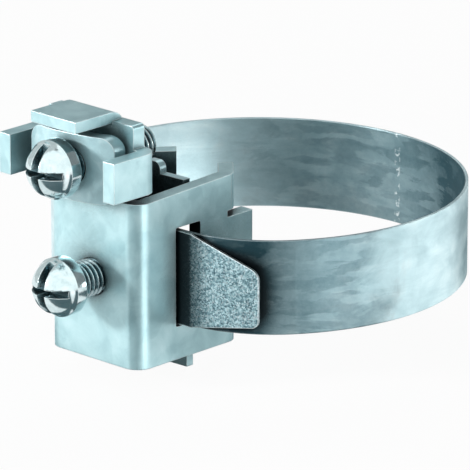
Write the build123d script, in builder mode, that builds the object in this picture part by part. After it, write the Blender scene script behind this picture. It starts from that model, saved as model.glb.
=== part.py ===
"""Earthing pipe clamp: a steel strap drawn round a pipe by a screw, with a conductor terminal on top.

Millimetres. The origin is the centre of the strap loop, Z runs along the pipe and the screws run
along Y, with their heads at negative Y.
"""
import math
import os

from build123d import *

os.makedirs("parts", exist_ok=True)

# Folded sheet
sheet = 3.2
bend_inside = 0.5

# Channel of the clamp body
front_to_loop = 6.6
body_width = 26.8
body_height = 36.0
wall_length = 28.0
top_slope = 2.0
lip_length = 6.5
lip_angle = 45.0
lip_height = 6.9
tab_height = 19.4
tab_reach = 6.3
notch_depth = 1.2
collar_radius = 6.2
collar_length = 1.8

# Strap and loop
strap_width = 20.4
strap_thickness = 0.6
strap_gap = 0.2
loop_bore_radius = 44.0
strap_hole_radius = 4.6
inner_end_overhang = 1.0

# Tail of the strap
tail_angle = 14.0
tail_bend_radius = 3.0
tail_length = 16.2
tail_bottom_rise = 2.5
tail_tip_width = 11.9
tail_top_radius = 2.5
tail_bottom_radius = 1.7

# Slots in the side walls
slot_to_front = 11.3
slot_front_clearance = 0.6
slot_length = 7.3
slot_clearance = 0.6
slot_corner_radius = 0.4

# Pressure plate
plate_thickness = 1.9
plate_side_clearance = 1.0
plate_to_front = 18.7
plate_top = 18.4
plate_bottom = -22.6
plate_offset_x = -0.4
plate_tilt = 1.2
plate_notch_depth = 3.8
plate_notch_radius = 0.8
tongue_width = 4.8
tongue_height = 2.5
tongue_radius = 1.6

# Terminal
terminal_width = 33.5
flange_depth = 10.0
flange_height = 8.7
neck_inset = 4.9
neck_height = 3.4
shoulder_width = 24.8
shoulder_height = 5.0
relief_radius = 0.8
lid_width = 13.0
lid_thickness = 2.4
lid_reach = 10.8
lid_underside_drop = 0.5
lid_bend_outside = 3.6

# Clamping plate
clamp_width = 21.5
clamp_height = 14.4
clamp_thickness = 3.3
clamp_bow_radius = 38.0
clamp_yaw = 7.0
clamp_drop = 0.2
clamp_corner_radius = 3.2
clamp_edge_radius = 0.4
clamp_hole_radius = 4.5
clamp_to_web = 0.2

# Screws
thread_radius = 4.0
thread_clearance = 0.05
tip_chamfer = 0.9
head_radius = 6.3
head_rim = 3.4
head_height = 8.0
head_edge_radius = 0.35
head_to_clamp = 1.8
head_to_front = 7.25
terminal_screw_length = 24.7
screw_tip_gap = 0.05
slot_width = 2.1
slot_depth = 4.0
cross_width = 1.5
cross_depth = 3.5
cross_length = 10.6

# Places in the clamp body
front_face_y = -(loop_bore_radius + front_to_loop)
rear_face_y = front_face_y + sheet
sheet_middle_y = front_face_y + sheet / 2
bend_middle = bend_inside + sheet / 2
wall_end_y = front_face_y + wall_length
tab_end_y = wall_end_y + tab_reach
body_top = body_height / 2
wall_middle_x = (body_width - sheet) / 2
wall_inner_x = body_width / 2 - sheet
neck_width = body_width - 2 * neck_inset
flange_bottom = body_top + neck_height
flange_top = flange_bottom + flange_height
flange_front_y = front_face_y - flange_depth
terminal_z = (flange_bottom + flange_top) / 2
shoulder_top = flange_top + shoulder_height
lid_bottom = shoulder_top - lid_underside_drop
lid_top = lid_bottom + lid_thickness

# Places of the strap's two layers in the channel
strap_middle_radius = loop_bore_radius + strap_thickness / 2
layer_step = strap_thickness + strap_gap
slot_front_y = front_face_y + slot_to_front
front_layer_y = slot_front_y + slot_front_clearance + strap_thickness / 2
rear_layer_y = front_layer_y + layer_step

# Centre of the clamping plate's bow, with the plate's right end almost on the web
bow_centre_x = -clamp_bow_radius * math.sin(math.radians(clamp_yaw))
bow_rear_depth = math.sqrt(
    (clamp_bow_radius - clamp_thickness) ** 2 - (clamp_width / 2 - bow_centre_x) ** 2
)
bow_centre_y = front_face_y - clamp_to_web + bow_rear_depth
clamp_front_y = bow_centre_y - clamp_bow_radius * math.cos(math.radians(clamp_yaw))

# Places of the pressure plate and the screws
plate_front_y = front_face_y + plate_to_front
plate_width = 2 * (wall_inner_x - plate_side_clearance)
terminal_head_y = clamp_front_y - head_to_clamp
tension_head_y = front_face_y - head_to_front
tension_screw_length = plate_front_y - screw_tip_gap - tension_head_y


def lead_in_radius(run_y):
    """Radius of the bend that leaves a run at run_y by the wall and joins the loop smoothly."""
    reach = strap_middle_radius ** 2 - (body_width / 2) ** 2 - run_y ** 2
    return reach / (2 * (strap_middle_radius + run_y))


def lead_in(run_y):
    """Three points of that bend on the near side: at the wall, mid bend and on the loop."""
    radius = lead_in_radius(run_y)
    centre = Vector(body_width / 2, run_y + radius)
    out = math.atan2(centre.Y, centre.X)
    half = (out - math.pi / 2) / 2
    return [
        centre + Vector(math.cos(angle), math.sin(angle)) * radius
        for angle in (-math.pi / 2, half, out)
    ]


def flipped(point):
    """The same point on the far side of the clamp."""
    return Vector(-point.X, point.Y)


# Clamp body: channel, lips, tabs and terminal folded from one sheet
with BuildPart() as clamp_body:
    # Front wall and side walls
    with BuildSketch(Plane.XY.offset(-body_top)):
        with BuildLine():
            FilletPolyline(
                (-wall_middle_x, wall_end_y),
                (-wall_middle_x, sheet_middle_y),
                (wall_middle_x, sheet_middle_y),
                (wall_middle_x, wall_end_y),
                radius=bend_middle,
            )
        trace(line_width=sheet)
    extrude(amount=body_height + sheet)

    # Straight tabs between the lips
    with BuildSketch(Plane.XY.offset(-tab_height / 2)):
        for side in (-1, 1):
            with BuildLine():
                Line((side * wall_middle_x, wall_end_y - sheet), (side * wall_middle_x, tab_end_y))
            trace(line_width=sheet)
    extrude(amount=tab_height)

    # Lips folded inwards above and below the tabs
    lip_rise = lip_length * math.cos(math.radians(lip_angle))
    lip_inset = lip_length * math.sin(math.radians(lip_angle))
    for lip_bottom in (-body_top, body_top - lip_height):
        with BuildSketch(Plane.XY.offset(lip_bottom)):
            for side in (-1, 1):
                with BuildLine():
                    FilletPolyline(
                        (side * wall_middle_x, wall_end_y - sheet),
                        (side * wall_middle_x, wall_end_y),
                        (side * (wall_middle_x - lip_inset), wall_end_y + lip_rise),
                        radius=bend_middle,
                    )
                trace(line_width=sheet)
        extrude(amount=lip_height + (sheet if lip_bottom > 0 else 0))

    # Top edges of the side walls and lips, rising towards the pipe
    top_rise = -rear_face_y * math.tan(math.radians(top_slope))
    with BuildSketch(Plane.YZ.offset(-body_width)):
        with BuildLine():
            Polyline(
                (front_face_y - sheet, body_top),
                (rear_face_y, body_top),
                (0, body_top + top_rise),
                (0, 2 * body_height),
                (front_face_y - sheet, 2 * body_height),
                close=True,
            )
        make_face()
    extrude(amount=2 * body_width, mode=Mode.SUBTRACT)

    # Notches that let the lips fold beside the tabs
    notch_height = body_top - lip_height - tab_height / 2
    notch_z = (body_top - lip_height + tab_height / 2) / 2
    with BuildSketch(Plane.YZ.offset(-body_width)):
        with Locations((wall_end_y, -notch_z), (wall_end_y, notch_z)):
            Rectangle(2 * notch_depth, notch_height)
    extrude(amount=2 * body_width, mode=Mode.SUBTRACT)

    # Threaded collar pressed through the front wall
    with BuildSketch(Plane.XZ.offset(-rear_face_y)):
        Circle(collar_radius)
    extrude(amount=-collar_length)

    # Terminal flanges folded forward from the web
    flange_middle_x = (terminal_width - sheet) / 2
    with BuildSketch(Plane.XY.offset(flange_bottom)):
        with BuildLine():
            FilletPolyline(
                (-flange_middle_x, flange_front_y),
                (-flange_middle_x, sheet_middle_y),
                (flange_middle_x, sheet_middle_y),
                (flange_middle_x, flange_front_y),
                radius=bend_middle,
            )
        trace(line_width=sheet)
    extrude(amount=flange_height)

    # Neck below the terminal and shoulders above it
    with BuildSketch(Plane.XZ.offset(-front_face_y)):
        with Locations((0, (body_top + flange_bottom) / 2)):
            Rectangle(neck_width, neck_height + 2 * sheet)
        with Locations((0, (terminal_z + shoulder_top) / 2)):
            Rectangle(shoulder_width, shoulder_top - terminal_z)
    extrude(amount=-sheet)
    for corner in (
        (neck_width / 2, body_top),
        (neck_width / 2, flange_bottom),
        (shoulder_width / 2, shoulder_top),
    ):
        for side in (-1, 1):
            place = (side * corner[0], sheet_middle_y, corner[1])
            fillet(edges().filter_by(Axis.Y).sort_by_distance(place)[0], relief_radius)

    # Lid folded forward over the terminal screw
    with BuildSketch(Plane.YZ.offset(-lid_width / 2)):
        with BuildLine():
            Polyline(
                (rear_face_y, terminal_z),
                (rear_face_y, lid_top),
                (front_face_y - lid_reach, lid_top),
                (front_face_y - lid_reach, lid_bottom),
                (front_face_y, lid_bottom),
                (front_face_y, terminal_z),
                close=True,
            )
        make_face()
        fillet(vertices().sort_by_distance((rear_face_y, lid_top))[0], lid_bend_outside)
        fillet(vertices().sort_by_distance((front_face_y, lid_bottom))[0], bend_inside)
    extrude(amount=lid_width)

    # Slots for the strap in both side walls
    with BuildSketch(Plane.YZ.offset(-body_width)):
        with Locations((slot_front_y + slot_length / 2, 0)):
            RectangleRounded(slot_length, strap_width + 2 * slot_clearance, slot_corner_radius)
    extrude(amount=2 * body_width, mode=Mode.SUBTRACT)

    # Tapped holes for the two screws
    with BuildSketch(Plane.XZ.offset(-front_face_y)):
        with Locations((0, 0), (0, terminal_z)):
            Circle(thread_radius + thread_clearance)
    extrude(amount=-(sheet + collar_length), mode=Mode.SUBTRACT)
clamp_body.part.label = "clamp_body"
export_step(clamp_body.part, "parts/clamp_body.step")


# Strap: tail out of the near slot, across the channel, round the loop and back into the near slot
tail_direction = Vector(1, 0).rotate(Axis.Z, tail_angle)
tail_run = (lead_in_radius(rear_layer_y) + layer_step) * math.tan(math.radians(tail_angle) / 2)
tail_bend = Vector(body_width / 2 + tail_run, front_layer_y)
tail_plane = Plane(tail_bend, x_dir=tail_direction, z_dir=tail_direction.rotate(Axis.Z, -90))
with BuildPart() as strap:
    # Tail, bent a little towards the loop and then straight to its end
    with BuildSketch(Plane.XY.offset(-strap_width / 2)):
        with BuildLine():
            FilletPolyline(
                (wall_middle_x, front_layer_y),
                tail_bend,
                tail_bend + tail_direction * tail_length,
                radius=tail_bend_radius,
            )
        trace(line_width=strap_thickness)
    extrude(amount=strap_width)

    # Its outline, narrowing to a rounded tip
    tip_bottom = tail_bottom_rise - strap_width / 2
    with BuildSketch(tail_plane):
        with BuildLine():
            Polyline(
                (-tail_length, -strap_width / 2),
                (0, -strap_width / 2),
                (tail_length, tip_bottom),
                (tail_length, tip_bottom + tail_tip_width),
                (0, strap_width / 2),
                (-tail_length, strap_width / 2),
                close=True,
            )
        make_face()
        fillet(vertices().sort_by_distance((tail_length, tip_bottom))[0], tail_bottom_radius)
        fillet(vertices().sort_by_distance((tail_length, tip_bottom + tail_tip_width))[0], tail_top_radius)
    extrude(amount=strap_width, both=True, mode=Mode.INTERSECT)

    # Across the channel, round the loop and back through the near slot
    far_wall, far_middle, far_on_loop = (flipped(point) for point in lead_in(front_layer_y))
    near_wall, near_middle, near_on_loop = lead_in(rear_layer_y)
    with BuildSketch(Plane.XY.offset(-strap_width / 2)):
        with BuildLine():
            Line((wall_middle_x, front_layer_y), far_wall)
            ThreePointArc(far_wall, far_middle, far_on_loop)
            ThreePointArc(far_on_loop, (0, strap_middle_radius), near_on_loop)
            ThreePointArc(near_on_loop, near_middle, near_wall)
            Line(near_wall, (-body_width / 2 - inner_end_overhang, rear_layer_y))
        trace(line_width=strap_thickness)
    extrude(amount=strap_width)

    # Clearance for the tensioning screw where both layers cross the channel
    with BuildSketch(Plane.XZ.offset(-slot_front_y)):
        Circle(strap_hole_radius)
    extrude(amount=-slot_length, mode=Mode.SUBTRACT)
strap.part.label = "strap"
export_step(strap.part, "parts/strap.step")


# Pressure plate, hanging a little askew between the side walls, with a guiding tongue on top and a
# notch beside the strap's slot on either side
with BuildPart() as pressure_plate:
    with BuildSketch(Plane.XZ.offset(-plate_front_y)):
        with Locations(Location((plate_offset_x, 0), plate_tilt)):
            with Locations((0, (plate_top + plate_bottom) / 2)):
                Rectangle(plate_width, plate_top - plate_bottom)
            with Locations((0, plate_top)):
                RectangleRounded(tongue_width, 2 * tongue_height, tongue_radius)
            with Locations((-plate_width / 2, 0), (plate_width / 2, 0)):
                RectangleRounded(
                    2 * plate_notch_depth,
                    strap_width + 2 * slot_clearance,
                    plate_notch_radius,
                    mode=Mode.SUBTRACT,
                )
    extrude(amount=-plate_thickness)
pressure_plate.part.label = "pressure_plate"
export_step(pressure_plate.part, "parts/pressure_plate.step")


# Clamping plate, bowed towards the head and hanging a little askew on the terminal screw
with BuildPart() as clamping_plate:
    # Outline seen from the front, deep enough for the bow
    with BuildSketch(Plane.XZ.offset(-front_face_y)):
        with Locations((0, terminal_z - clamp_drop)):
            RectangleRounded(clamp_width, clamp_height, clamp_corner_radius)
    extrude(amount=front_face_y - clamp_front_y + clamp_thickness)

    # Bow, seen from above
    with BuildSketch(Plane.XY.offset(terminal_z - clamp_height)):
        with Locations((bow_centre_x, bow_centre_y)):
            Circle(clamp_bow_radius)
            Circle(clamp_bow_radius - clamp_thickness, mode=Mode.SUBTRACT)
    extrude(amount=2 * clamp_height, mode=Mode.INTERSECT)

    # Front edges, rounded as the punch leaves them
    fillet(faces().sort_by(SortBy.AREA)[-1].edges(), clamp_edge_radius)

    # Clearance hole for the screw
    with BuildSketch(Plane.XZ.offset(-front_face_y)):
        with Locations((0, terminal_z)):
            Circle(clamp_hole_radius)
    extrude(amount=front_face_y - clamp_front_y + clamp_thickness, mode=Mode.SUBTRACT)
clamping_plate.part.label = "clamping_plate"
export_step(clamping_plate.part, "parts/clamping_plate.step")


def make_screw(name, seat_y, axis_z, length):
    """Pan-head screw along Y: seat under the head at seat_y, tip towards positive Y."""
    dome = head_height - head_rim
    dome_radius = (head_radius ** 2 + dome ** 2) / (2 * dome)
    with BuildPart() as screw:
        # Half profile: x is the radius, y runs from the top of the head to the tip
        with BuildSketch(Plane((0, seat_y, axis_z), x_dir=(1, 0, 0), z_dir=(0, 0, 1))):
            with BuildLine():
                Polyline(
                    (0, -head_height),
                    (0, length),
                    (thread_radius - tip_chamfer, length),
                    (thread_radius, length - tip_chamfer),
                    (thread_radius, 0),
                    (head_radius, 0),
                    (head_radius, -head_rim),
                )
                RadiusArc((head_radius, -head_rim), (0, -head_height), dome_radius)
            make_face()
            rim = vertices().sort_by_distance((head_radius, -head_rim))[0]
            fillet(rim, head_edge_radius)
        revolve(axis=Axis((0, seat_y, axis_z), (0, 1, 0)))
        # Full slot and shorter cross slot
        with BuildSketch(Plane((0, seat_y - head_height, axis_z), x_dir=(1, 0, 0), z_dir=(0, -1, 0))):
            Rectangle(slot_width, 2 * head_radius + 1)
        extrude(amount=-slot_depth, mode=Mode.SUBTRACT)
        with BuildSketch(Plane((0, seat_y - head_height, axis_z), x_dir=(1, 0, 0), z_dir=(0, -1, 0))):
            Rectangle(cross_length, cross_width)
        extrude(amount=-cross_depth, mode=Mode.SUBTRACT)
    screw.part.label = name
    export_step(screw.part, "parts/" + name + ".step")
    return screw


tension_screw = make_screw("tension_screw", tension_head_y, 0, tension_screw_length)
terminal_screw = make_screw("terminal_screw", terminal_head_y, terminal_z, terminal_screw_length)
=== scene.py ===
# %% [markdown]
# # Earthing pipe clamp
# The imported model comes first. Its nodes are the folded clamp body, the strap, the pressure plate,
# the clamping plate and two screws, each already in its place, in metres. The box around them all is
# kept, and the floor is set just below it.

# %% Load the model
import math

import bmesh
import bpy
from mathutils import Matrix, Vector


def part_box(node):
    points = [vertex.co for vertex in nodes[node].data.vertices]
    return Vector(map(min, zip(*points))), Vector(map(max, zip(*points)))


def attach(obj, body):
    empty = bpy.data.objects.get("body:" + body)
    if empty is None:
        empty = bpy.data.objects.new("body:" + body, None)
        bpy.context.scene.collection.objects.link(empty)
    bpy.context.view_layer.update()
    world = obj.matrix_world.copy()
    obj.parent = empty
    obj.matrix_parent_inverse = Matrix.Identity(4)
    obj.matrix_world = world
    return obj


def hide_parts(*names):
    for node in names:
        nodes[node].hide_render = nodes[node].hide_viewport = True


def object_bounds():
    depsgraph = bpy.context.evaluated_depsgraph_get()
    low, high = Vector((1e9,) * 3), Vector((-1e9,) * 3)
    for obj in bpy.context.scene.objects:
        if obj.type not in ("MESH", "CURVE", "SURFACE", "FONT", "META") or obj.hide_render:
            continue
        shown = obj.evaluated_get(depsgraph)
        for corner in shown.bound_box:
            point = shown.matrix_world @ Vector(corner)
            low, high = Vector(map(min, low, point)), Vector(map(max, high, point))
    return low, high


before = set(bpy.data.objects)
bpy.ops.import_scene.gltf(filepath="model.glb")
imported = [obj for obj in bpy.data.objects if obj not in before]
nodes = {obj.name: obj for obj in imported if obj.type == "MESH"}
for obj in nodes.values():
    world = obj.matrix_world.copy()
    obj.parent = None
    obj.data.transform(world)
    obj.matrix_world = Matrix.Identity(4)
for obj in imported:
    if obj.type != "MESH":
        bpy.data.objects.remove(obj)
cad_bounds = [list(corner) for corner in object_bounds()]
MM = 0.001
print("CAD box", cad_bounds)

# %% [markdown]
# ## Objects and meshes
# Whatever this script adds becomes an object in the scene, and most of it is built up in bmesh
# first, because bmesh has the spins and cuts that turned and threaded things need. Two small
# helpers do the steps that are the same each time.


# %% Objects and meshes
def add_object(name, data):
    """Make an object of some data, put it in the scene and return it."""
    thing = bpy.data.objects.new(name, data)
    bpy.context.scene.collection.objects.link(thing)
    return thing


def take_mesh(name, bm):
    """Turn a bmesh into a mesh, free the bmesh and return the mesh."""
    mesh = bpy.data.meshes.new(name)
    bm.to_mesh(mesh)
    bm.free()
    return mesh


# %% [markdown]
# ## Camera
# The photograph was taken from the front right and a little above, with a long lens. The camera's
# direction and distance were fitted to the photograph, so here they are plain numbers.

# %% Camera
IMAGE_SIZE = 470
PIXELS_PER_MM = 4.668
AZIMUTH = 0.763643610
ELEVATION = 0.312800758
DISTANCE = 5566.08443 / PIXELS_PER_MM * MM
SHIFT_RIGHT = 24.4 / PIXELS_PER_MM * MM
SHIFT_UP = 12.4291966 / PIXELS_PER_MM * MM
SENSOR_WIDTH = 36.0
right = Vector((math.cos(AZIMUTH), math.sin(AZIMUTH), 0))
forward = Vector(
    (
        -math.sin(AZIMUTH) * math.cos(ELEVATION),
        math.cos(AZIMUTH) * math.cos(ELEVATION),
        -math.sin(ELEVATION),
    )
)
up = right.cross(forward)
camera_data = bpy.data.cameras.new("camera")
camera_data.sensor_width = SENSOR_WIDTH
camera_data.lens = SENSOR_WIDTH * DISTANCE / MM * PIXELS_PER_MM / IMAGE_SIZE
camera_data.clip_start = 0.01
camera_data.clip_end = 20
camera = add_object("camera", camera_data)
camera_place = -forward * DISTANCE - right * SHIFT_RIGHT - up * SHIFT_UP
camera_turn = Matrix((right, up, -forward)).transposed().to_4x4()
camera.matrix_world = Matrix.Translation(camera_place) @ camera_turn
bpy.context.scene.camera = camera
print("camera lens", round(camera_data.lens, 1), "mm at", round(DISTANCE, 3), "m")

# %% [markdown]
# ## Shader helpers
# Each material is a small tree of nodes. These helpers keep the trees short: they add a node with
# its values and links, calculate with sockets and numbers, turn a value into a colour, mix two
# colours and fade softly between two limits.


# %% Shader helpers
def feed(tree, socket, value):
    """Link another socket to an input, or set the input's own value."""
    if isinstance(value, bpy.types.NodeSocket):
        tree.links.new(value, socket)
    else:
        socket.default_value = value


def add_node(tree, kind, inputs=None, **settings):
    """Add a node, set its properties, feed its inputs by name or number, and return it."""
    node = tree.nodes.new(kind)
    for key, value in settings.items():
        setattr(node, key, value)
    for key, value in (inputs or {}).items():
        feed(tree, node.inputs[key], value)
    return node


def math_node(tree, operation, first, second=None, clamp=False):
    """Calculate with one or two sockets or numbers, and return the result's socket."""
    node = add_node(tree, "ShaderNodeMath", {0: first}, operation=operation, use_clamp=clamp)
    if second is not None:
        feed(tree, node.inputs[1], second)
    return node.outputs[0]


def scale_add(tree, value, factor, added):
    """Multiply a value by a factor, then add another value or a number."""
    return math_node(tree, "ADD", math_node(tree, "MULTIPLY", value, factor), added)


def dot_product(tree, first, second):
    """Return the dot product of two vectors."""
    node = add_node(tree, "ShaderNodeVectorMath", {0: first, 1: second}, operation="DOT_PRODUCT")
    return node.outputs["Value"]


def smooth_step(tree, value, low, high):
    """Rise softly from 0 to 1 as a value goes from low to high."""
    limits = {"Value": value, "From Min": low, "From Max": high}
    node = add_node(tree, "ShaderNodeMapRange", limits, interpolation_type="SMOOTHSTEP")
    return node.outputs["Result"]


def ramp_node(tree, value, stops):
    """Turn a value into a colour by (position, colour) stops."""
    node = add_node(tree, "ShaderNodeValToRGB", {"Fac": value})
    elements = node.color_ramp.elements
    while len(elements) < len(stops):
        elements.new(0.5)
    for element, (position, colour) in zip(elements, stops):
        element.position = position
        element.color = colour
    return node.outputs["Color"]


def mix_colours(tree, factor, first, second):
    """Mix two colours, the second by the factor."""
    node = add_node(tree, "ShaderNodeMix", {0: factor, 6: first, 7: second}, data_type="RGBA")
    return node.outputs[2]


# %% [markdown]
# ## Node groups
# Effects that several materials share, such as the clouds in the zinc, are built once as a node
# group with named sockets, and placed in each material with values of its own.


# %% Start and end of a group
def new_group(name, inputs, outputs):
    """Start a node group with (kind, name, default) sockets, and return it with its two ends."""
    group = bpy.data.node_groups.new(name, "ShaderNodeTree")
    for kind, socket_name, default in inputs:
        socket = group.interface.new_socket(socket_name, in_out="INPUT", socket_type=kind)
        if default is not None:
            socket.default_value = default
    for kind, socket_name in outputs:
        group.interface.new_socket(socket_name, in_out="OUTPUT", socket_type=kind)
    return group, group.nodes.new("NodeGroupInput"), group.nodes.new("NodeGroupOutput")


def end_group(group, end, **results):
    """Link the results of a group to its outputs of the same names."""
    for name, socket in results.items():
        group.links.new(socket, end.inputs[name])
    print("group", group.name, "with", len(group.nodes), "nodes")


def add_group(tree, group, **inputs):
    """Place a group in a tree, and feed its inputs."""
    return add_node(tree, "ShaderNodeGroup", inputs, node_tree=group)


# %% [markdown]
# ## Clouds in the zinc
# Hot-dip galvanised sheet is never one even grey: the zinc freezes in soft patches a few
# millimetres wide, with faint feathery borders. A slow noise gives the patches and a warped Voronoi
# pattern gives the borders of the crystals. Both come out as plain masks, so each material decides
# how strongly it uses them.

# %% Group: zinc clouds
PATCHES_PER_METRE = 150
CRYSTALS_PER_METRE = 300
SPECKLES_PER_METRE = 900
WARP = 6 * MM
zinc_clouds, start, end = new_group(
    "zinc_clouds",
    [("NodeSocketVector", "Vector", None), ("NodeSocketFloat", "Scale", 1.0)],
    [("NodeSocketFloat", "Patches"), ("NodeSocketFloat", "Crystals"), ("NodeSocketFloat", "Fine")],
)
point, scale = start.outputs["Vector"], start.outputs["Scale"]
slow = add_node(
    zinc_clouds,
    "ShaderNodeTexNoise",
    {
        "Vector": point,
        "Scale": math_node(zinc_clouds, "MULTIPLY", scale, PATCHES_PER_METRE),
        "Detail": 5,
        "Roughness": 0.62,
        "Distortion": 0.6,
    },
)
shift = {0: slow.outputs["Color"], "Scale": WARP}
warp = add_node(zinc_clouds, "ShaderNodeVectorMath", shift, operation="SCALE")
warped = add_node(
    zinc_clouds, "ShaderNodeVectorMath", {0: point, 1: warp.outputs[0]}, operation="ADD"
)
crystals = add_node(
    zinc_clouds,
    "ShaderNodeTexVoronoi",
    {
        "Vector": warped.outputs[0],
        "Scale": math_node(zinc_clouds, "MULTIPLY", scale, CRYSTALS_PER_METRE),
        "Smoothness": 0.35,
    },
    feature="SMOOTH_F1",
)
crystal_tone = add_node(zinc_clouds, "ShaderNodeSeparateColor", {0: crystals.outputs["Color"]})
fine = add_node(
    zinc_clouds,
    "ShaderNodeTexNoise",
    {
        "Vector": point,
        "Scale": math_node(zinc_clouds, "MULTIPLY", scale, SPECKLES_PER_METRE),
        "Detail": 3,
        "Roughness": 0.7,
    },
)
end_group(
    zinc_clouds,
    end,
    Patches=slow.outputs["Fac"],
    Crystals=crystal_tone.outputs["Red"],
    Fine=fine.outputs["Fac"],
)

# %% [markdown]
# ## Bright edges
# Sheared and folded edges are rubbed bright. The materials paint them lighter still as thin white
# lines, a painted highlight where they would catch the light. A Bevel node gives the normal that a
# rounded edge would have. Where it leaves the true normal there is an edge, so the difference of the
# two is a mask of all edges, whatever the mesh.

# %% Group: edge mask
edge_mask, start, end = new_group(
    "edge_mask",
    [("NodeSocketFloat", "Radius", 0.3 * MM), ("NodeSocketFloat", "Strength", 1.0)],
    [("NodeSocketFloat", "Edge"), ("NodeSocketVector", "Normal")],
)
rounded = add_node(edge_mask, "ShaderNodeBevel", {"Radius": start.outputs["Radius"]}, samples=6)
surface = add_node(edge_mask, "ShaderNodeNewGeometry")
agree = dot_product(edge_mask, rounded.outputs[0], surface.outputs["Normal"])
turned = math_node(edge_mask, "SUBTRACT", 1.0, agree)
gained = math_node(edge_mask, "MULTIPLY", turned, start.outputs["Strength"], clamp=True)
end_group(edge_mask, end, Edge=gained, Normal=rounded.outputs[0])

# %% [markdown]
# ## Painted shade in hollows
# The colour is darkened to nearly black deep in the channel, behind the plates, between two layers
# and at the bottom of a thread. This is painted shade where little light reaches. An Ambient
# Occlusion node measures how much of a point's surroundings is open within a given reach. The group
# turns that into a mask, 0 in a deep hollow and 1 in the open.

# %% Group: painted shade in hollows
painted_hollow_shade, start, end = new_group(
    "painted_hollow_shade",
    [
        ("NodeSocketFloat", "Reach", 10 * MM),
        ("NodeSocketFloat", "Deep", 0.35),
        ("NodeSocketFloat", "Shallow", 0.85),
    ],
    [("NodeSocketFloat", "Open")],
)
reach = {"Distance": start.outputs["Reach"]}
occlusion = add_node(painted_hollow_shade, "ShaderNodeAmbientOcclusion", reach, samples=8).outputs["AO"]
limits = start.outputs["Deep"], start.outputs["Shallow"]
end_group(painted_hollow_shade, end, Open=smooth_step(painted_hollow_shade, occlusion, *limits))

# %% [markdown]
# ## Way round the loop
# The strip was rolled flat before it was bent, so its streaks run along it, round the loop. This
# group turns a point into its distance along the bend, its depth and its height, and a texture that
# reads those is stretched along the strip wherever it goes. It also gives the angle round the loop,
# and tells the inside from the outside by the way the face looks.

# %% Group: round the loop
STRIP_RADIUS = 44.3 * MM
round_the_loop, start, end = new_group(
    "round_the_loop",
    [("NodeSocketVector", "Vector", None), ("NodeSocketFloat", "Stretch", 0.25)],
    [("NodeSocketVector", "Vector"), ("NodeSocketFloat", "Angle"), ("NodeSocketFloat", "Inside")],
)
point = start.outputs["Vector"]
x, y, z = add_node(round_the_loop, "ShaderNodeSeparateXYZ", {0: point}).outputs
angle = math_node(round_the_loop, "ARCTAN2", x, y)
along = math_node(round_the_loop, "MULTIPLY", angle, STRIP_RADIUS)
along = math_node(round_the_loop, "MULTIPLY", along, start.outputs["Stretch"])
x_squared = math_node(round_the_loop, "MULTIPLY", x, x)
y_squared = math_node(round_the_loop, "MULTIPLY", y, y)
depth = math_node(round_the_loop, "ADD", x_squared, y_squared)
depth = math_node(round_the_loop, "SQRT", depth)
unrolled = add_node(round_the_loop, "ShaderNodeCombineXYZ", {"X": along, "Y": depth, "Z": z})
surface = add_node(round_the_loop, "ShaderNodeNewGeometry")
facing = dot_product(round_the_loop, surface.outputs["Normal"], point)
inward = math_node(round_the_loop, "LESS_THAN", facing, 0.0)
end_group(round_the_loop, end, Vector=unrolled.outputs[0], Angle=angle, Inside=inward)

# %% [markdown]
# ## Granules
# The outside of the strap's tail shows the coarse skin of the zinc: a dense glitter of grains about
# 0.3 mm wide, each tilted its own way. A fine Voronoi pattern gives each grain its own tone, partly
# the grain's own and partly a painted reflection of the light its tilt would catch, and the
# brightest few get a painted glint.

# %% Group: granules
SPARKLE_ABOVE = 0.8
granules, start, end = new_group(
    "granules",
    [("NodeSocketVector", "Vector", None), ("NodeSocketFloat", "Scale", 3400)],
    [("NodeSocketFloat", "Grain"), ("NodeSocketFloat", "Sparkle")],
)
pattern = {"Vector": start.outputs["Vector"], "Scale": start.outputs["Scale"], "Randomness": 1.0}
grains = add_node(granules, "ShaderNodeTexVoronoi", pattern)
grain_tone = add_node(granules, "ShaderNodeSeparateColor", {0: grains.outputs["Color"]})
sparkle = math_node(granules, "GREATER_THAN", grain_tone.outputs["Green"], SPARKLE_ABOVE)
end_group(granules, end, Grain=grain_tone.outputs["Red"], Sparkle=sparkle)

# %% [markdown]
# ## Start and end of a metal
# Every piece here is zinc on steel, so the materials start alike: a Principled shader that is
# mostly metal, and the Object coordinates that every pattern reads. Weathered zinc has a dull skin
# that scatters some of the light, so it is not all metal, and it takes soft shadows as the real one
# does. They end alike too: the shader gets its colour, its roughness and a slight relief, which
# lies on top of the rounded edges.

# %% Colours and relief
# Near-white for painted highlights on edges, painted glints on grains and pale specks. Near-black
# for painted shade in hollows.
GLINT_AND_MARK_WHITE = (0.92, 0.99, 1.0, 1)
HOLLOW_SHADE_COLOUR = (0.008, 0.016, 0.02, 1)
EDGE_STRENGTH = 7.0
RELIEF_DEPTH = 0.2 * MM


# %% Start and end of a metal
def start_metal(name, metallic):
    """Start a zinc material; return it, its tree, its shader and its Object coordinates."""
    material = bpy.data.materials.new(name)
    material.use_nodes = True
    tree = material.node_tree
    shader = tree.nodes["Principled BSDF"]
    shader.inputs["Metallic"].default_value = metallic
    coordinates = add_node(tree, "ShaderNodeTexCoord").outputs["Object"]
    return material, tree, shader, coordinates


def end_metal(tree, shader, colour, roughness, height, edge, bump, depth=RELIEF_DEPTH):
    """Give the shader its colour, its roughness and its relief over rounded edges."""
    relief = add_node(
        tree,
        "ShaderNodeBump",
        {"Strength": bump, "Distance": depth, "Height": height, "Normal": edge.outputs["Normal"]},
    )
    feed(tree, shader.inputs["Base Color"], colour)
    feed(tree, shader.inputs["Roughness"], roughness)
    feed(tree, shader.inputs["Normal"], relief.outputs["Normal"])


def dress(node_name, material):
    """Give a CAD node its material."""
    nodes[node_name].data.materials.clear()
    nodes[node_name].data.materials.append(material)
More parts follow.
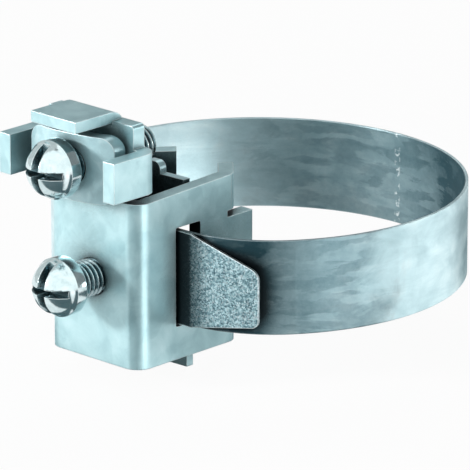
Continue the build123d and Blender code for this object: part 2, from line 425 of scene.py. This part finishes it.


# %% [markdown]
# ## Galvanised sheet
# The clamp body is thick sheet, dipped after folding. Its clouds are pale and soft, its gloss
# changes a little from patch to patch, and its edges are rubbed bright and carry a painted
# highlight. The channel's hollows are darkened with painted shade. On the terminal above, that
# painted shade is held to a lighter level.

# %% Values of the sheet
SHEET_METALLIC = 0.55
CRYSTAL_SHARE = 0.16
TONE_STOPS = (0.36, 0.55, 0.76)
SPECKLE_RELIEF = 0.5
# Above these heights the painted shade is lightened: the mask stays at least this open.
TERMINAL_FROM_Z = 20 * MM
TERMINAL_FULL_Z = 23 * MM
TERMINAL_SHADE_LIMIT = 0.42


# %% Material: galvanised sheet
def galvanised(name, cloud_scale, tones, roughness, edge_radius, bump, hollow):
    """Zinc-coated steel with clouds in three tones, a painted highlight on the edges and painted
    shade in the hollows.

    The roughness is its lowest value and what the patches add. The hollow is the reach and the
    limits that the group of painted hollow shade takes.
    """
    material, tree, shader, coordinates = start_metal(name, SHEET_METALLIC)
    cloud = add_group(tree, zinc_clouds, Vector=coordinates, Scale=cloud_scale)
    edge = add_group(tree, edge_mask, Radius=edge_radius, Strength=EDGE_STRENGTH)
    patches = cloud.outputs["Patches"]
    blend = math_node(tree, "MULTIPLY", cloud.outputs["Crystals"], CRYSTAL_SHARE)
    blend = scale_add(tree, patches, 1 - CRYSTAL_SHARE, blend)
    colour = ramp_node(tree, blend, list(zip(TONE_STOPS, tones)))
    # Painted shade: the hollows are mixed towards a near-black colour, less so on the terminal.
    openness = add_group(tree, painted_hollow_shade, **hollow).outputs["Open"]
    height_up = add_node(tree, "ShaderNodeSeparateXYZ", {0: coordinates}).outputs["Z"]
    terminal_lift = smooth_step(tree, height_up, TERMINAL_FROM_Z, TERMINAL_FULL_Z)
    terminal_lift = math_node(tree, "MULTIPLY", terminal_lift, TERMINAL_SHADE_LIMIT)
    openness = math_node(tree, "MAXIMUM", openness, terminal_lift)
    colour = mix_colours(tree, openness, HOLLOW_SHADE_COLOUR, colour)
    # Painted highlight on the edges, kept out of the painted shade of the hollows.
    edge_glint = math_node(tree, "MULTIPLY", edge.outputs["Edge"], openness)
    colour = mix_colours(tree, edge_glint, colour, GLINT_AND_MARK_WHITE)
    gloss = scale_add(tree, patches, roughness[1], roughness[0])
    height = scale_add(tree, cloud.outputs["Fine"], SPECKLE_RELIEF, patches)
    end_metal(tree, shader, colour, gloss, height, edge, bump)
    print(name, "with", len(tree.nodes), "nodes")
    return material


# %% [markdown]
# The two plates are stamped from another sheet, with finer clouds and more contrast. Only the
# painted shade in their hollows differs between them: the plate in the channel gets more of it, and
# the plate in the open gets less.

# %% Sheet and plates
SHEET_TONES = ((0.42, 0.65, 0.69, 1), (0.51, 0.745, 0.78, 1), (0.6, 0.82, 0.855, 1))
PLATE_TONES = ((0.42, 0.62, 0.66, 1), (0.5, 0.72, 0.76, 1), (0.66, 0.84, 0.87, 1))
sheet_zinc = galvanised(
    "galvanised_sheet",
    cloud_scale=1.0,
    tones=SHEET_TONES,
    roughness=(0.24, 0.2),
    edge_radius=0.3 * MM,
    bump=0.15,
    hollow={"Reach": 34 * MM, "Deep": 0.42, "Shallow": 0.72},
)
plate_look = {
    "cloud_scale": 1.4,
    "tones": PLATE_TONES,
    "roughness": (0.28, 0.2),
    "edge_radius": 0.25 * MM,
    "bump": 0.25,
}
OUTER_HOLLOW = {"Reach": 10 * MM, "Deep": 0.05, "Shallow": 0.45}
INNER_HOLLOW = {"Reach": 20 * MM, "Deep": 0.3, "Shallow": 0.7}
outer_plate_zinc = galvanised("galvanised_plate", hollow=OUTER_HOLLOW, **plate_look)
inner_plate_zinc = galvanised("galvanised_plate_shaded", hollow=INNER_HOLLOW, **plate_look)
dress("clamp_body", sheet_zinc)
dress("pressure_plate", inner_plate_zinc)
dress("clamping_plate", outer_plate_zinc)

# %% [markdown]
# ## Galvanised strip
# The strap is the same zinc on a thin strip, smoother than the sheet, with long soft streaks round
# the loop under broad clouds. Some places on it differ, and each is found by where it lies: the
# stretches of painted shade by their angle round the loop, the coarse tail by its plane, and a
# narrow upright row of specks on the inside, opposite the clamp, by X = 0.

# %% Places on the strip
TAIL_BEND = Vector((16.88, -38.4, 0)) * MM
TAIL_ANGLE = math.radians(14)
TAIL_OUTWARD = Vector((math.sin(TAIL_ANGLE), -math.cos(TAIL_ANGLE), 0))
TAIL_FROM = -0.6 * MM
TAIL_FULL = -0.35 * MM
print("tail bends at", [round(value / MM, 2) for value in TAIL_BEND], "mm")

# %% Material: galvanised strip
STRIP_METALLIC = 0.75
STREAK_STRETCH = 0.3
STREAK_SHARE = 0.5
CLOUD_SHARE = 0.55
STRIP_TONES = [
    (0.36, (0.4, 0.58, 0.62, 1)),
    (0.54, (0.56, 0.75, 0.79, 1)),
    (0.72, (0.76, 0.92, 0.94, 1)),
]
strip_zinc, tree, shader, coordinates = start_metal("galvanised_strip", STRIP_METALLIC)
loop_way = add_group(tree, round_the_loop, Vector=coordinates, Stretch=STREAK_STRETCH)
inside = loop_way.outputs["Inside"]
streaks = add_group(tree, zinc_clouds, Vector=loop_way.outputs["Vector"], Scale=1.6)
patches = add_group(tree, zinc_clouds, Vector=coordinates, Scale=0.6)
blend = math_node(tree, "MULTIPLY", streaks.outputs["Patches"], STREAK_SHARE)
blend = scale_add(tree, patches.outputs["Patches"], CLOUD_SHARE, blend)
tone = ramp_node(tree, blend, STRIP_TONES)
print("strip streaks and clouds", len(tree.nodes), "nodes")

# %% [markdown]
# Painted shade darkens parts of the strip. Outside it covers the part of the loop next to the tail,
# and is darkest beside it, as a painted shadow of the tail. Inside it leaves only the far side
# bright, and is darkest between the back and the near side. Angles are in degrees round the loop, 0
# opposite the clamp and growing towards the tail. The patches make the shade's borders uneven, and
# the finer patterns mottle it.

# %% Values of the painted shade
STRIP_SHADE_COLOUR = (0.036, 0.1, 0.125, 1)
# Angles where the painted shade begins and where it is full, and its strength
SHADE_OUTSIDE_ANGLES = (91, 112, 0.7)
TAIL_SHADOW_ANGLES = (130, 137, 0.2)
SHADE_INSIDE_ANGLES = (-66, -26, 0.66)
DARKEST_SHADE_ANGLES = (-4, 34, 0.34)
DARKEST_FADES = (80, 45)
UNEVEN_DEGREES = 40
MOTTLING = 0.28


# %% Stretches of painted shade
def shade(degrees, start, full, strength):
    """Painted shade of some strength that sets in between two angles."""
    return math_node(tree, "MULTIPLY", smooth_step(tree, degrees, start, full), strength)


degrees = math_node(tree, "MULTIPLY", loop_way.outputs["Angle"], 180 / math.pi)
swing = math_node(tree, "SUBTRACT", patches.outputs["Patches"], 0.5)
uneven = scale_add(tree, swing, UNEVEN_DEGREES, degrees)
outside_shade = shade(uneven, *SHADE_OUTSIDE_ANGLES)
outside_shade = math_node(tree, "ADD", outside_shade, shade(degrees, *TAIL_SHADOW_ANGLES))
inside_shade = shade(uneven, *SHADE_INSIDE_ANGLES)
darkest = shade(uneven, *DARKEST_SHADE_ANGLES)
darkest = math_node(tree, "MULTIPLY", smooth_step(tree, uneven, *DARKEST_FADES), darkest)
inside_shade = math_node(tree, "ADD", inside_shade, darkest)
outside = math_node(tree, "SUBTRACT", 1.0, inside)
painted = math_node(tree, "MULTIPLY", outside_shade, outside)
painted = scale_add(tree, inside_shade, inside, painted)
mottle = math_node(tree, "ADD", streaks.outputs["Crystals"], patches.outputs["Fine"])
mottle = math_node(tree, "MULTIPLY", mottle, MOTTLING)
mottle = math_node(tree, "SUBTRACT", 1 + MOTTLING, mottle)
painted = math_node(tree, "MULTIPLY", painted, mottle, clamp=True)
# Painted shade: the strip's colour is mixed towards a dark teal.
tone = mix_colours(tree, painted, tone, STRIP_SHADE_COLOUR)
print("strip with its painted shade", len(tree.nodes), "nodes")

# %% [markdown]
# The grains of the tail are mixed in where the distance from the tail's plane says so. Their tones
# run from dark to nearly white, and a few of them get a painted glint.

# %% Tail grains
GRAINS_PER_METRE = 3400
GRAIN_SHARE = 0.6
SPARKLE_STRENGTH = 0.3
GRAIN_TONES = [
    (0.2, (0.07, 0.14, 0.17, 1)),
    (0.5, (0.2, 0.34, 0.38, 1)),
    (0.8, (0.5, 0.68, 0.72, 1)),
]
apart = {0: coordinates, 1: TAIL_BEND}
from_bend = add_node(tree, "ShaderNodeVectorMath", apart, operation="SUBTRACT").outputs[0]
outward = dot_product(tree, from_bend, TAIL_OUTWARD)
on_tail = smooth_step(tree, outward, TAIL_FROM, TAIL_FULL)
grain = add_group(tree, granules, Vector=coordinates, Scale=GRAINS_PER_METRE)
fine_part = math_node(tree, "MULTIPLY", patches.outputs["Fine"], 1 - GRAIN_SHARE)
soft_grain = scale_add(tree, grain.outputs["Grain"], GRAIN_SHARE, fine_part)
grain_tone = ramp_node(tree, soft_grain, GRAIN_TONES)
sparkling = math_node(tree, "MULTIPLY", grain.outputs["Sparkle"], SPARKLE_STRENGTH)
grain_tone = mix_colours(tree, sparkling, grain_tone, GLINT_AND_MARK_WHITE)
tone = mix_colours(tree, on_tail, tone, grain_tone)
print("grains", round(1 / GRAINS_PER_METRE / MM, 2), "mm wide")

# %% [markdown]
# The specks are a fine noise, cut off high and kept inside a narrow band at the back of the loop.

# %% Row of specks
SPECKS_PER_METRE = 900.0
SPECKS_HALF_WIDTH = 1.0 * MM
SPECKS_FULL_WIDTH = 0.3 * MM
SPECKS_BEHIND_Y = 30 * MM
SPECK_LIMITS = (0.5, 0.62)
SPECK_STRENGTH = 0.6
place = add_node(tree, "ShaderNodeSeparateXYZ", {0: coordinates}).outputs
off_centre = math_node(tree, "ABSOLUTE", place["X"])
in_row = smooth_step(tree, off_centre, SPECKS_HALF_WIDTH, SPECKS_FULL_WIDTH)
at_back = math_node(tree, "GREATER_THAN", place["Y"], SPECKS_BEHIND_Y)
pattern = {"Vector": coordinates, "Scale": SPECKS_PER_METRE, "Detail": 2.0}
noise = add_node(tree, "ShaderNodeTexNoise", pattern).outputs["Fac"]
speck = smooth_step(tree, noise, *SPECK_LIMITS)
for mask in (in_row, at_back, inside, SPECK_STRENGTH):
    speck = math_node(tree, "MULTIPLY", speck, mask)
tone = mix_colours(tree, speck, tone, GLINT_AND_MARK_WHITE)
print("specks within", SPECKS_HALF_WIDTH / MM, "mm of the middle")

# %% [markdown]
# Between its two layers and beside the tail the strip is darkened with painted shade, and its cut
# edges are rubbed bright with a painted highlight, most of all on the tail.
# Its gloss follows the clouds, and the grains make the tail a little rougher.

# %% Hollows, edges and gloss of the strip
EDGE_SHARE = 0.3
STRIP_ROUGHNESS = 0.22
CLOUDS_ROUGHER = 0.25
TAIL_ROUGHER = 0.15
GRAIN_RELIEF = 1.5
# Painted shade in the hollows, which also stands in for the tail's shadow on the band.
hollow = add_group(tree, painted_hollow_shade, Reach=10 * MM, Deep=0.72, Shallow=1.0)
tone = mix_colours(tree, hollow.outputs["Open"], HOLLOW_SHADE_COLOUR, tone)
edge = add_group(tree, edge_mask, Radius=0.36 * MM, Strength=EDGE_STRENGTH)
edge_share = scale_add(tree, on_tail, 1 - EDGE_SHARE, EDGE_SHARE)
edge_glint = math_node(tree, "MULTIPLY", edge.outputs["Edge"], edge_share)
tone = mix_colours(tree, edge_glint, tone, GLINT_AND_MARK_WHITE)
gloss = scale_add(tree, blend, CLOUDS_ROUGHER, STRIP_ROUGHNESS)
gloss = math_node(tree, "ADD", gloss, math_node(tree, "MULTIPLY", on_tail, TAIL_ROUGHER))
height = math_node(tree, "MULTIPLY", grain.outputs["Grain"], on_tail)
height = scale_add(tree, height, GRAIN_RELIEF, streaks.outputs["Fine"])
end_metal(tree, shader, tone, gloss, height, edge, bump=0.15)
dress("strap", strip_zinc)
print("galvanised_strip with", len(tree.nodes), "nodes")

# %% [markdown]
# ## Zinc-plated screws
# The screws are plated, not dipped: smooth, paler and shinier than the sheet, with painted shade in
# the recess and at the bottom of the thread.

# %% Material: zinc-plated screw
SCREW_METALLIC = 0.9
SCREW_TONES = [(0.35, (0.6, 0.74, 0.76, 1)), (0.65, (0.78, 0.9, 0.92, 1))]
SCREW_SHADE_COLOUR = (0.1, 0.17, 0.19, 1)
screw_zinc, tree, shader, coordinates = start_metal("zinc_plated_screw", SCREW_METALLIC)
plating = add_group(tree, zinc_clouds, Vector=coordinates, Scale=2.2)
edge = add_group(tree, edge_mask, Radius=0.22 * MM, Strength=6.0)
tone = ramp_node(tree, plating.outputs["Patches"], SCREW_TONES)
# Painted highlight on the edges.
tone = mix_colours(tree, edge.outputs["Edge"], tone, GLINT_AND_MARK_WHITE)
# Painted shade in the recess and between the turns of the thread.
hollow = add_group(tree, painted_hollow_shade, Reach=2.6 * MM, Deep=0.5, Shallow=0.95)
tone = mix_colours(tree, hollow.outputs["Open"], SCREW_SHADE_COLOUR, tone)
gloss = scale_add(tree, plating.outputs["Patches"], 0.1, 0.08)
height = plating.outputs["Fine"]
end_metal(tree, shader, tone, gloss, height, edge, bump=0.1, depth=0.1 * MM)
print("zinc_plated_screw with", len(tree.nodes), "nodes")

# %% [markdown]
# ## Screws with real threads
# The model's screws are plain shanks. Here each one is made again with its thread. The thread is
# one pitch of its profile, turned round the axis while it climbs by one pitch a turn, which is how
# a lathe cuts it. Turning to the right as it goes in makes it a right-hand thread.

# %% Sizes of the screws
PITCH = 1.25 * MM
CREST = 4.0 * MM
ROOT = 3.2 * MM
# Radius of the thread and part of the pitch, from one root to the next
THREAD_PROFILE = ((ROOT, 0), (ROOT, 0.12), (CREST, 0.47), (CREST, 0.6), (ROOT, 0.95), (ROOT, 1))
TIP_CHAMFER = 0.9 * MM
SHANK_IN_HEAD = 0.4 * MM
HEAD_RADIUS = 6.3 * MM
HEAD_RIM = 3.4 * MM
HEAD_HEIGHT = 8.0 * MM
HEAD_LEDGE = 0.35 * MM
UNDER_CHAMFER = 0.35 * MM
UNDER_RISE = 0.5 * MM
TURN_STEPS = 40
MERGE = 0.01 * MM


def screw_places(node_name):
    """Seat and tip along Y, and height of the axis, read from the node's box."""
    low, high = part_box(node_name)
    return low[1] + HEAD_HEIGHT, high[1], (low[2] + high[2]) / 2


def chain(bm, points):
    """A few vertices joined into a line of edges."""
    verts = [bm.verts.new(point) for point in points]
    for first, second in zip(verts, verts[1:]):
        bm.edges.new((first, second))
    return verts


# %% [markdown]
# The thread is spun with a climb at every step, its turns are merged, and two planes cut it to
# length. The cut ends are filled, and the tip is drawn in to a chamfer.


# %% Threaded shank
def cut_to_plane(bm, cut_y, outward):
    """Cut a rod at a plane across Y, drop what lies outward, and close the cut."""
    bmesh.ops.bisect_plane(
        bm,
        geom=bm.verts[:] + bm.edges[:] + bm.faces[:],
        dist=0.1 * MERGE,
        plane_co=(0, cut_y, 0),
        plane_no=(0, outward, 0),
        clear_outer=True,
    )
    rim = [
        edge
        for edge in bm.edges
        if edge.is_boundary and abs(edge.verts[0].co.y - cut_y) < MERGE
    ]
    bmesh.ops.edgeloop_fill(bm, edges=rim)


def threaded_shank(start_y, tip_y, axis_z):
    """A closed right-hand threaded rod along Y."""
    bm = bmesh.new()
    low_y = start_y - 2 * PITCH
    profile = chain(bm, [(radius, low_y + part * PITCH, axis_z) for radius, part in THREAD_PROFILE])
    turns = math.ceil((tip_y - low_y) / PITCH) + 1
    bmesh.ops.spin(
        bm,
        geom=profile + bm.edges[:],
        cent=(0, low_y, axis_z),
        axis=(0, 1, 0),
        dvec=(0, PITCH / TURN_STEPS, 0),
        angle=math.tau * turns,
        steps=TURN_STEPS * turns,
    )
    bmesh.ops.remove_doubles(bm, verts=bm.verts[:], dist=MERGE)
    cut_to_plane(bm, start_y, -1)
    cut_to_plane(bm, tip_y, 1)
    for vert in bm.verts:
        out = Vector((vert.co.x, 0, vert.co.z - axis_z))
        limit = CREST - max(0, vert.co.y - (tip_y - TIP_CHAMFER))
        if out.length > limit:
            out.length = limit
            vert.co.x = out.x
            vert.co.z = axis_z + out.z
    bmesh.ops.recalc_face_normals(bm, faces=bm.faces[:])
    return bm


# %% [markdown]
# The head is a dome on a rim, turned from a half profile: an arc for the dome, a narrow ledge round
# its foot, and a straight rim that is chamfered underneath.

# %% Screw head
DOME_STEPS = 14
HEAD_STEPS = 72


def screw_head(seat_y, axis_z):
    """A closed pan head along Y, without its recess."""
    bm = bmesh.new()
    dome = HEAD_HEIGHT - HEAD_RIM
    dome_foot = HEAD_RADIUS - HEAD_LEDGE
    dome_radius = (dome_foot ** 2 + dome ** 2) / (2 * dome)
    top_y = seat_y - HEAD_HEIGHT
    arc = bmesh.ops.spin(
        bm,
        geom=[bm.verts.new((0, top_y, axis_z))],
        cent=(0, top_y + dome_radius, axis_z),
        axis=(0, 0, 1),
        angle=math.asin(dome_foot / dome_radius),
        steps=DOME_STEPS,
    )
    last = [item for item in arc["geom_last"] if isinstance(item, bmesh.types.BMVert)][0]
    rim = chain(
        bm,
        [
            (HEAD_RADIUS, seat_y - HEAD_RIM + HEAD_LEDGE, axis_z),
            (HEAD_RADIUS, seat_y - UNDER_RISE, axis_z),
            (HEAD_RADIUS - UNDER_CHAMFER, seat_y, axis_z),
            (0, seat_y, axis_z),
        ],
    )
    bm.edges.new((last, rim[0]))
    bmesh.ops.spin(
        bm,
        geom=bm.verts[:] + bm.edges[:],
        cent=(0, seat_y, axis_z),
        axis=(0, 1, 0),
        angle=math.tau,
        steps=HEAD_STEPS,
        use_merge=True,
    )
    bmesh.ops.remove_doubles(bm, verts=bm.verts[:], dist=MERGE)
    bmesh.ops.recalc_face_normals(bm, faces=bm.faces[:])
    return bm


# %% [markdown]
# The recess is a slot, a shorter cross slot and a small pocket where they meet. Three blocks cut it
# with Boolean modifiers, and a Bevel modifier then breaks the sharp edges, as the plating does on
# the real screw. A block is centred on a point just above the dome, so it is twice as long as the
# recess is deep, and that much more.

# %% Sizes of the recess
# Width, depth below the top of the dome, and height
RECESS = {
    "slot": (2.1 * MM, 4.0 * MM, 14 * MM),
    "cross": (10.6 * MM, 3.5 * MM, 1.5 * MM),
    "pocket": (1.6 * MM, 4.8 * MM, 1.6 * MM),
}
ABOVE_DOME = 1 * MM
ROUNDING = 0.13 * MM
ROUNDED_ANGLE = math.radians(35)


# %% Recess
def block(name, size, centre):
    """A loose block that cuts a slot."""
    bm = bmesh.new()
    bmesh.ops.create_cube(bm, size=1.0)
    bmesh.ops.scale(bm, vec=size, verts=bm.verts[:])
    bmesh.ops.translate(bm, vec=centre, verts=bm.verts[:])
    return add_object(name, take_mesh(name, bm))


def cut_recess(piece, top_y, axis_z):
    """Cut the recess into a head, round its edges and return the result as a bmesh."""
    centre = (0, top_y - ABOVE_DOME, axis_z)
    cutters = []
    for name, (width, depth, height) in RECESS.items():
        cutters.append(block(name, (width, 2 * (depth + ABOVE_DOME), height), centre))
    for cutter in cutters:
        cut = piece.modifiers.new(cutter.name, "BOOLEAN")
        cut.operation = "DIFFERENCE"
        cut.solver = "EXACT"
        cut.object = cutter
    rounding = piece.modifiers.new("rounding", "BEVEL")
    rounding.width = ROUNDING
    rounding.segments = 2
    rounding.limit_method = "ANGLE"
    rounding.angle_limit = ROUNDED_ANGLE
    depsgraph = bpy.context.evaluated_depsgraph_get()
    bm = bmesh.new()
    bm.from_mesh(bpy.data.meshes.new_from_object(piece.evaluated_get(depsgraph)))
    piece.modifiers.clear()
    for cutter in cutters:
        bpy.data.objects.remove(cutter)
    return bm


# %% [markdown]
# Each screw is made in the node's own place, and stands for the node. It rides on the same body, so
# it turns and travels with it.

# %% Two screws
SMOOTH_ANGLE = math.radians(30)


def make_screw(node_name, piece_name):
    """Build one screw in place of its node."""
    seat_y, tip_y, axis_z = screw_places(node_name)
    mesh = take_mesh(piece_name, screw_head(seat_y, axis_z))
    piece = add_object(piece_name, mesh)
    bm = cut_recess(piece, seat_y - HEAD_HEIGHT, axis_z)
    bm.from_mesh(take_mesh("shank", threaded_shank(seat_y - SHANK_IN_HEAD, tip_y, axis_z)))
    for face in bm.faces:
        face.smooth = True
    for seam in bm.edges:
        seam.smooth = len(seam.link_faces) == 2 and seam.calc_face_angle() < SMOOTH_ANGLE
    bm.to_mesh(mesh)
    bm.free()
    mesh.materials.append(screw_zinc)
    body = node_name
    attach(piece, body)
    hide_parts(node_name)
    print(piece_name, len(mesh.polygons), "faces, seat at", round(seat_y / MM, 2), "mm")


make_screw("tension_screw", "tension_screw_threaded")
make_screw("terminal_screw", "terminal_screw_threaded")

# %% [markdown]
# ## Studio
# The photograph has a white background and soft light. A pale floor fills the view. The camera and
# the reflections see it as nearly white, and it still takes the object's soft shadow. It throws no
# shadow itself, so a lamp below its level lights the clamp too.

# %% Floor
FLOOR_GLOW = 0.95
FLOOR_HALF_SIZE = 4.0
FLOOR_Z = cad_bounds[0][2] - 0.3 * MM
floor_material = bpy.data.materials.new("studio_floor")
floor_material.use_nodes = True
tree = floor_material.node_tree
tree.nodes.remove(tree.nodes["Principled BSDF"])
matt = add_node(tree, "ShaderNodeBsdfDiffuse", {"Color": (0.9, 0.9, 0.9, 1)})
glow = add_node(tree, "ShaderNodeEmission", {"Color": (1, 1, 1, 1), "Strength": 1.0})
ray = add_node(tree, "ShaderNodeLightPath")
seen = math_node(tree, "MAXIMUM", ray.outputs["Is Camera Ray"], ray.outputs["Is Glossy Ray"])
seen = math_node(tree, "MAXIMUM", seen, ray.outputs["Is Transmission Ray"])
share = math_node(tree, "MULTIPLY", seen, FLOOR_GLOW)
blend = add_node(tree, "ShaderNodeMixShader", {0: share, 1: matt.outputs[0], 2: glow.outputs[0]})
tree.links.new(blend.outputs[0], tree.nodes["Material Output"].inputs["Surface"])


def flat_square(name, half_size, place, material):
    """A level square of the studio, such as the floor."""
    bm = bmesh.new()
    bmesh.ops.create_grid(bm, x_segments=1, y_segments=1, size=half_size)
    bmesh.ops.translate(bm, vec=place, verts=bm.verts[:])
    square = add_object(name, take_mesh(name, bm))
    square.data.materials.append(material)
    return square


floor = flat_square("floor", FLOOR_HALF_SIZE, (0, 0, FLOOR_Z), floor_material)
floor.visible_shadow = False
print("floor at", round(FLOOR_Z / MM, 2), "mm")

# %% [markdown]
# Shiny metal looks like what it reflects, and a photographer gives it something dark to reflect
# with black cards. The walls of the clamp mirror the floor, so the cards lie there, just above it.
# Only reflections see them. The front card is a square whose corner lies under the clamp's near
# bend: its two sides bound the dark band that the bend shows.

# %% Dark cards
CARD_COLOUR = (0.06, 0.13, 0.15, 1)
CARD_Z = FLOOR_Z + 0.1 * MM
card_material = bpy.data.materials.new("dark_card")
card_material.use_nodes = True
card_shader = card_material.node_tree.nodes["Principled BSDF"]
card_shader.inputs["Base Color"].default_value = CARD_COLOUR
card_shader.inputs["Roughness"].default_value = 1.0
card_shader.inputs["Specular IOR Level"].default_value = 0.0


def show_in_reflections_only(thing):
    """Hide a thing of the studio from all rays but the reflected ones."""
    thing.visible_camera = False
    thing.visible_diffuse = False
    thing.visible_transmission = False
    thing.visible_shadow = False


def dark_card(name, corner, size, turn=0.0):
    """A level card from its corner, turned about that corner by some degrees."""
    card = flat_square(name, 0.5, (0.5, 0.5, 0), card_material)
    lie = Matrix.Translation((corner[0], corner[1], CARD_Z))
    lie = lie @ Matrix.Rotation(math.radians(turn), 4, "Z")
    card.data.transform(lie @ Matrix.Diagonal((size[0], size[1], 1, 1)))
    show_in_reflections_only(card)
    print(name, "of", size, "m")


dark_card("card_front", (0.011, -0.054), (0.24, 0.24), turn=-108)
dark_card("card_inside", (-0.040, -0.060), (0.060, 0.065))
dark_card("card_left", (-0.100, 0.030), (0.07, 0.065))
dark_card("card_back", (-0.030, 0.055), (0.07, 0.08))
dark_card("card_side", (0.018, -0.032), (0.06, 0.036))

# %% [markdown]
# The domed screw heads mirror a wide sweep of the room, so they get a curved white screen: an arc
# turned upwards from just above the floor, and then turned round the clamp. A dimmer screen carries
# on to the left. They too are seen by reflections alone, so they add no light of their own.

# %% White screens
SCREEN_COLOUR = (0.97, 1, 1, 1)
SCREEN_RADIUS = 0.8
SCREEN_ELEVATIONS = (-1, 86)


def white_screen(name, strength, from_azimuth, to_azimuth):
    """A glowing part of a sphere round the clamp, between two directions from the front."""
    material = bpy.data.materials.new(name)
    material.use_nodes = True
    tree = material.node_tree
    tree.nodes.remove(tree.nodes["Principled BSDF"])
    shine = add_node(tree, "ShaderNodeEmission", {"Color": SCREEN_COLOUR, "Strength": strength})
    tree.links.new(shine.outputs[0], tree.nodes["Material Output"].inputs["Surface"])
    low, high = (math.radians(elevation) for elevation in SCREEN_ELEVATIONS)
    bm = bmesh.new()
    foot = bm.verts.new((0, -SCREEN_RADIUS * math.cos(low), SCREEN_RADIUS * math.sin(low)))
    centre = (0, 0, 0)
    bmesh.ops.spin(bm, geom=[foot], cent=centre, axis=(-1, 0, 0), angle=high - low, steps=12)
    begin = Matrix.Rotation(math.radians(from_azimuth), 4, "Z")
    bmesh.ops.transform(bm, matrix=begin, verts=bm.verts[:])
    sweep = math.radians(to_azimuth - from_azimuth)
    arc = bm.verts[:] + bm.edges[:]
    bmesh.ops.spin(bm, geom=arc, cent=centre, axis=(0, 0, 1), angle=sweep, steps=24)
    screen = add_object(name, take_mesh(name, bm))
    screen.data.materials.append(material)
    show_in_reflections_only(screen)
    print(name, "from", from_azimuth, "to", to_azimuth, "degrees from the front")


white_screen("screen_front", 1.25, -34, 100)
white_screen("screen_left", 0.6, -120, -34)

# %% [markdown]
# The room gives a dim even light, and five soft boxes shape the rest. The small key at the front
# left throws the shadow of the lower screw. The lamp at the side draws the bright stripe down the
# near bend and lights the far inside of the loop, and the one at the back right lights the right
# end of the loop. Both stand below the floor's level, so their light comes up from there. The two
# dim ones fill from the front and from behind.

# %% Lamps
WORLD_COLOUR = (0.93, 0.98, 1, 1)
WORLD_STRENGTH = 0.24
world = bpy.data.worlds.new("studio")
bpy.context.scene.world = world
world.use_nodes = True
world.node_tree.nodes["Background"].inputs["Color"].default_value = WORLD_COLOUR
world.node_tree.nodes["Background"].inputs["Strength"].default_value = WORLD_STRENGTH


def soft_box(name, azimuth, elevation, distance, size, power):
    """A square lamp that faces the clamp, placed by its direction in degrees from the front."""
    lamp_data = bpy.data.lights.new(name, "AREA")
    lamp_data.energy = power
    lamp_data.size = size
    lamp = add_object(name, lamp_data)
    away = Vector(
        (
            math.cos(math.radians(elevation)) * math.sin(math.radians(azimuth)),
            -math.cos(math.radians(elevation)) * math.cos(math.radians(azimuth)),
            math.sin(math.radians(elevation)),
        )
    )
    turn = away.to_track_quat("Z", "Y").to_matrix().to_4x4()
    lamp.matrix_world = Matrix.Translation(away * distance) @ turn
    print("lamp", name, power, "W")


soft_box("front", azimuth=8, elevation=32, distance=0.9, size=0.6, power=1.2)
soft_box("key", azimuth=-30, elevation=16, distance=1.0, size=0.13, power=8.0)
soft_box("side", azimuth=90, elevation=-14, distance=1.0, size=0.25, power=2.4)
soft_box("right", azimuth=138, elevation=-6, distance=1.0, size=0.5, power=4.5)
soft_box("back_top", azimuth=-150, elevation=45, distance=0.9, size=0.4, power=1.2)
bpy.context.scene.view_settings.view_transform = "Standard"
